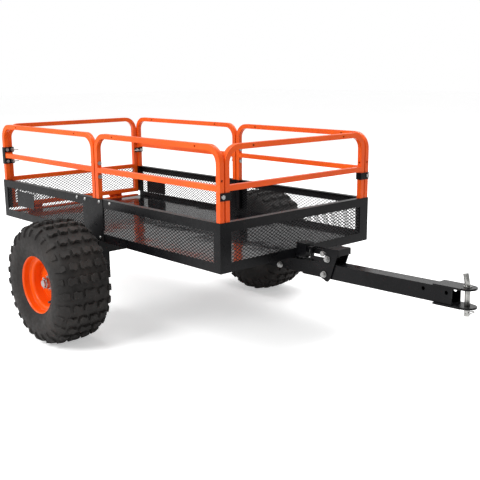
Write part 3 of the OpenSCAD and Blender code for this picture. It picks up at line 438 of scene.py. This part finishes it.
def treadBlock(outline, row, centre, outward):
    # one block: its outline lies on the skin, and rings of it rise along the skin's own normal
    look = wheelLook
    skin = smoothLine(tyreSkinPoints) * mm
    length = np.concatenate([[0], np.cumsum(np.linalg.norm(np.diff(skin, axis=0), axis=1))])
    slope = np.gradient(skin, axis=0)
    slope /= np.linalg.norm(slope, axis=1)[:, None]
    flat = np.asarray(outline, float) * mm
    middle = flat.mean(0)
    rim = flat - middle
    reach = np.linalg.norm(rim, axis=1)[:, None]
    half = look["blockLength"] / 2
    lift = np.interp(np.abs(flat[:, 0]), [0, 60 * mm, 118 * mm],
                     [look["tread"], look["tread"], look["shoulderTread"]])
    lift *= 1 - look["ramp"] * (flat[:, 1] + half) / (2 * half)
    rings = []
    for grow, height in ((look["draft"], -2 * mm), (0, lift - look["chamfer"]), (-look["chamfer"], lift)):
        spot = middle + rim * (1 + grow / reach)
        rings.append(np.stack([spot[:, 0], spot[:, 1], np.broadcast_to(height, len(spot))], 1))
    rings.append(np.repeat(np.array([[*middle, lift.mean()]]), len(flat), 0))
    rings.insert(0, np.repeat(np.array([[*middle, -2 * mm]]), len(flat), 0))
    grid = np.array(rings)
    s = np.abs(grid[..., 0])
    sign = np.where(grid[..., 0] < 0, -1, 1)
    out = np.interp(s, length, skin[:, 0])
    radius = np.interp(s, length, skin[:, 1])
    leanOut = -np.interp(s, length, slope[:, 1])
    leanUp = np.interp(s, length, slope[:, 0])
    out = sign * (out + leanOut * grid[..., 2])
    radius = radius + leanUp * grid[..., 2]
    turn = row * 2 * np.pi / look["rows"] + grid[..., 1] / (skin[0, 1] + look["tread"])
    points = np.stack([centre[0] + radius * np.cos(turn), centre[1] + outward * out,
                       centre[2] + radius * np.sin(turn)], -1)
    n = len(flat)
    ring = np.arange(n)
    after = (ring + 1) % n
    walls = np.concatenate([np.stack([k * n + ring, k * n + after, (k + 1) * n + after,
                                      (k + 1) * n + ring], 1) for k in (1, 2)])
    top = np.stack([3 * n + ring, 3 * n + after, np.full(n, 4 * n)], 1)
    foot = np.stack([n + after, n + ring, np.zeros(n, int)], 1)
    used = np.concatenate([[0], np.arange(n, 4 * n + 1)])
    renumber = np.zeros(5 * n, int)
    renumber[used] = np.arange(len(used))
    return points.reshape(-1, 3)[used], [renumber[walls], renumber[top], renumber[foot]]


def makeTyre(side, outward):
    look = wheelLook
    low, high = (np.array(c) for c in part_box(f"tyre_{side}"))
    centre = (low + high) / 2
    outer = smoothLine(tyreSkinPoints)
    inner = smoothLine(tyreInsidePoints)
    half = np.concatenate([outer, inner])
    section = np.concatenate([half, (half * [-1, 1])[::-1][1:-1]]) * mm
    parts = [revolve(section[:, ::-1], centre, (0, outward, 0), look["segments"])]
    for row in range(look["rows"]):
        for outline in (oddRow if row % 2 else evenRow):
            mirrored = [(-a, b) for a, b in outline]
            parts.append(treadBlock(outline, row, centre, outward))
            if min(a for a, b in outline) > 0:
                parts.append(treadBlock(mirrored, row, centre, outward))
    makePiece(f"tyre_{side}_treaded", parts, tyreSkin, f"wheel_{side}", 28,
              (f"tyre_{side}",))


rimLook = {"sheet": 3 * mm, "segments": 128}

# (radius, out from the middle) in mm: the rim's sheet from lip to lip, its dished disc and the hub tube
rimLine = [(118, -88.5), (107, -89.5), (103.4, -84), (103.4, -62), (86, -60), (83.4, -54), (83.4, 54),
           (86, 60), (103.4, 62), (103.4, 84), (107, 89.5), (118, 89.2)]
discLine = [(82.5, 24), (74, 24), (62, 30), (40, 33), (30, 38)]
hubTube = [(26, -39.5), (31, -39.5), (31, 39.5), (26, 39.5)]


def makeRim(side, outward):
    low, high = (np.array(c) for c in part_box(f"rim_{side}"))
    centre = (low + high) / 2
    axis = (0, outward, 0)
    barrel = thicken(roundedLine(np.array(rimLine) * mm, 4 * mm, 5, False), rimLook["sheet"])
    disc = thicken(roundedLine(np.array(discLine) * mm, 8 * mm, 5, False), rimLook["sheet"])
    tube = roundedLine(np.array(hubTube) * mm, 0.8 * mm, 3)
    turn = np.linspace(0, 2 * np.pi, 12, endpoint=False)
    roll = np.array([117.6, 88.2]) * mm + 1.9 * mm * np.stack([np.cos(turn), np.sin(turn)], 1)
    weld = np.array([32, 37.5]) * mm + 2.4 * mm * np.stack([np.cos(turn), np.sin(turn)], 1)
    parts = [revolve(section, centre, axis, rimLook["segments"])
             for section in (barrel, disc, tube, roll, roll * [1, -1], weld)]
    makePiece(f"rim_{side}_dished", parts, orangePaint, f"wheel_{side}", 40,
              (f"rim_{side}",))


for sideName, sideSign in (("left", 1), ("right", -1)):
    makeTyre(sideName, sideSign)
    makeRim(sideName, sideSign)
print("wheels ready")


clipLook = {"wire": 1.5 * mm, "sides": 10}
springLook = {"wire": 0.9 * mm, "turns": 11, "sides": 8, "hook": 0.12}

# middle of the clip's wire, (forwards, left) of the pin's axis in mm
clipLine = [(0, -15), (0, -5), (0, 5), (0, 13), (1.5, 17), (5.5, 19), (9.5, 17), (11, 12), (9.8, 5),
            (9.8, -2), (11, -8), (14, -13)]


def makeHitchClip():
    # bent wire clip: a straight leg through the pin, a bow at its end, and a waved leg back past the pin
    low, high = (np.array(c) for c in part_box("hitch_clip"))
    pinX = high[0] - clipLook["wire"]
    middleY = (low[1] + high[1]) / 2
    level = (low[2] + high[2]) / 2
    flat = smoothLine(clipLine) * mm
    path = np.stack([pinX + flat[:, 0], middleY + flat[:, 1], np.full(len(flat), level)], 1)
    wire = tubeSweep(path, clipLook["wire"], clipLook["sides"])
    makePiece("hitchClipWire", [wire], brightSteel, "hitch_pin", 50, ("hitch_clip",))


def makeSpring():
    # close-wound coil whose ends run in to hooks on its axis
    look = springLook
    low, high = (np.array(c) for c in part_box("pedal_spring"))
    centre = (low + high) / 2
    radius = (high[0] - low[0]) / 2 - look["wire"]
    t = np.linspace(0, 1, 16 * look["turns"] + 1)
    z = low[2] + (high[2] - low[2]) * (look["hook"] + (1 - 2 * look["hook"]) * t)
    angle = 2 * np.pi * look["turns"] * t
    coil = np.stack([centre[0] + radius * np.cos(angle), centre[1] + radius * np.sin(angle), z], 1)
    foot = np.array([centre[0], centre[1], low[2] + look["wire"]])
    top = np.array([centre[0], centre[1], high[2] - look["wire"]])
    step = np.linspace(0, 1, 9)[:, None]
    runIn = foot + (coil[0] - foot) * step[:-1]
    runOut = coil[-1] + (top - coil[-1]) * step[1:]
    wire = tubeSweep(np.concatenate([runIn, coil, runOut]), look["wire"], look["sides"])
    piece = makePiece("pedalSpringCoil", [wire], brightSteel, "chassis", 60,
                      ("pedal_spring",), False)
    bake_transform(piece)


makeHitchClip()
makeSpring()
print("clip and spring ready")


view = {"spot": (2.15573, -1.9181, 0.9808), "azimuth": 47.18, "pitch": 12.30, "roll": -0.386, "lens": 58.02}


def placeCamera():
    # back points from the object to the camera; right and up complete the turn
    a, e, r = (math.radians(view[k]) for k in ("azimuth", "pitch", "roll"))
    back = Vector((math.sin(a) * math.cos(e), -math.cos(a) * math.cos(e), math.sin(e)))
    right = Vector((math.cos(a), math.sin(a), 0))
    up = back.cross(right)
    rolledRight = math.cos(r) * right + math.sin(r) * up
    rolledUp = math.cos(r) * up - math.sin(r) * right
    data = bpy.data.cameras.new("camera")
    data.lens = view["lens"]
    data.sensor_width = 36
    data.clip_end = 60
    camera = bpy.data.objects.new("camera", data)
    camera.matrix_world = Matrix.Translation(view["spot"]) @ Matrix(
        (rolledRight, rolledUp, back)).transposed().to_4x4()
    bpy.context.scene.collection.objects.link(camera)
    bpy.context.scene.camera = camera


floorLook = {"size": 30, "glow": 0.42}


def placeFloor():
    # pale floor, far larger than the view
    size = floorLook["size"]
    mesh = bpy.data.meshes.new("floor")
    corners = [(-size, -size, 0), (size, -size, 0), (size, size, 0), (-size, size, 0)]
    mesh.from_pydata(corners, [], [(0, 1, 2, 3)])
    floor = bpy.data.objects.new("floor", mesh)
    bpy.context.scene.collection.objects.link(floor)
    s = Shader("paleFloor")
    s.link(s.ramp(s.noise(0.6, 3.0), [(0.3, (0.93, 0.93, 0.93)), (0.7, (0.96, 0.96, 0.96))]), "Base Color")
    s.set(roughness=0.75, specular=0.2)
    # a glow that only the eye sees keeps the far floor white without lighting the object from below
    s.out.inputs["Emission Color"].default_value = (1, 1, 1, 1)
    s.link(s.math("MULTIPLY", s.add("ShaderNodeLightPath").outputs["Is Camera Ray"], floorLook["glow"]),
           "Emission Strength")
    mesh.materials.append(s.material)


lamps = {
    "key": {"spot": (-0.3, -4.6, 4.2), "size": 2.6, "power": 235},
    "top": {"spot": (-0.3, 0.3, 5.5), "size": 4.0, "power": 170},
    "fill": {"spot": (-4.5, -2.5, 3.0), "size": 3.0, "power": 50},
    "back": {"spot": (-1.5, 4.5, 3.5), "size": 3.0, "power": 60},
}
skyLook = {"seen": 1.0, "level": 0.6}


def placeLamps():
    aim = Vector((0, 0, 0.4))
    for name, lamp in lamps.items():
        data = bpy.data.lights.new(name, "AREA")
        data.energy = lamp["power"]
        data.size = lamp["size"]
        light = bpy.data.objects.new(name, data)
        light.location = lamp["spot"]
        light.rotation_euler = (aim - Vector(lamp["spot"])).to_track_quat("-Z", "Y").to_euler()
        bpy.context.scene.collection.objects.link(light)
    world = bpy.data.worlds.new("studio")
    world.use_nodes = True
    # the eye sees plain white, while the sky that lights the object is dimmer
    tree = world.node_tree
    seen = tree.nodes["Background"]
    lighting = tree.nodes.new("ShaderNodeBackground")
    for background, level in ((seen, skyLook["seen"]), (lighting, skyLook["level"])):
        background.inputs["Color"].default_value = (1, 1, 1, 1)
        background.inputs["Strength"].default_value = level
    mix = tree.nodes.new("ShaderNodeMixShader")
    tree.links.new(tree.nodes.new("ShaderNodeLightPath").outputs["Is Camera Ray"], mix.inputs["Fac"])
    tree.links.new(lighting.outputs[0], mix.inputs[1])
    tree.links.new(seen.outputs[0], mix.inputs[2])
    tree.links.new(mix.outputs[0], tree.nodes["World Output"].inputs["Surface"])
    bpy.context.scene.world = world
    bpy.context.scene.view_settings.view_transform = "Standard"


placeCamera()
placeFloor()
placeLamps()
print("studio ready")
